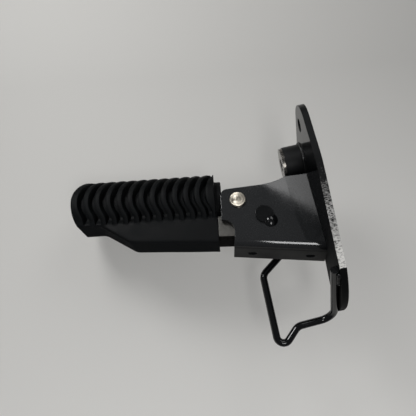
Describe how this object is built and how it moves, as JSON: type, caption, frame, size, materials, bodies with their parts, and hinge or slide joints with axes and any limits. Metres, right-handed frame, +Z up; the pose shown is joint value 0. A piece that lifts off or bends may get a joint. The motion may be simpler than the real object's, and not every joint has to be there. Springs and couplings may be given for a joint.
{
  "type": "motorcycle footpeg",
  "caption": "Folding footpeg with a ribbed rubber on a hinged bar, carried by a folded channel bracket welded to a bolt-on mounting plate with a bent wire guard.",
  "frame": {"origin": "centre of the upper bolt hole on the plate's mounting face", "axes": "+X points into the motorcycle, square to the mounting face; +Z is up; +Y is forward, so this is the left-hand peg"},
  "size_m": [0.1701, 0.0791, 0.1414],
  "materials": {
    "black_paint": "semi-gloss black paint on steel",
    "zinc_steel": "dull zinc-plated steel",
    "black_rubber": "matte moulded black rubber"
  },
  "bodies": {
    "bracket": {"mounting_plate": "black_paint", "clevis_bracket": "black_paint", "bracket_welds": "black_paint", "stop_pin": "black_paint", "stop_pin_tacks": "black_paint", "boss_collar": "black_paint", "boss_weld": "black_paint", "boss_bush": "zinc_steel", "guard_wire": "black_paint", "guard_welds": "black_paint", "clevis_pin": "zinc_steel", "pin_washer": "zinc_steel", "split_pin": "zinc_steel", "thrust_washers": "zinc_steel"},
    "peg": {"peg_bar": "zinc_steel", "peg_rubber": "black_rubber"}
  },
  "joints": [
    {"name": "fold", "type": "hinge", "parent": "bracket", "child": "peg", "pos_m": [-0.0557, 0.0344, -0.0349], "axis": [-0.1144, 0.9934, 0], "range_deg": [0, 85]}
  ]
}
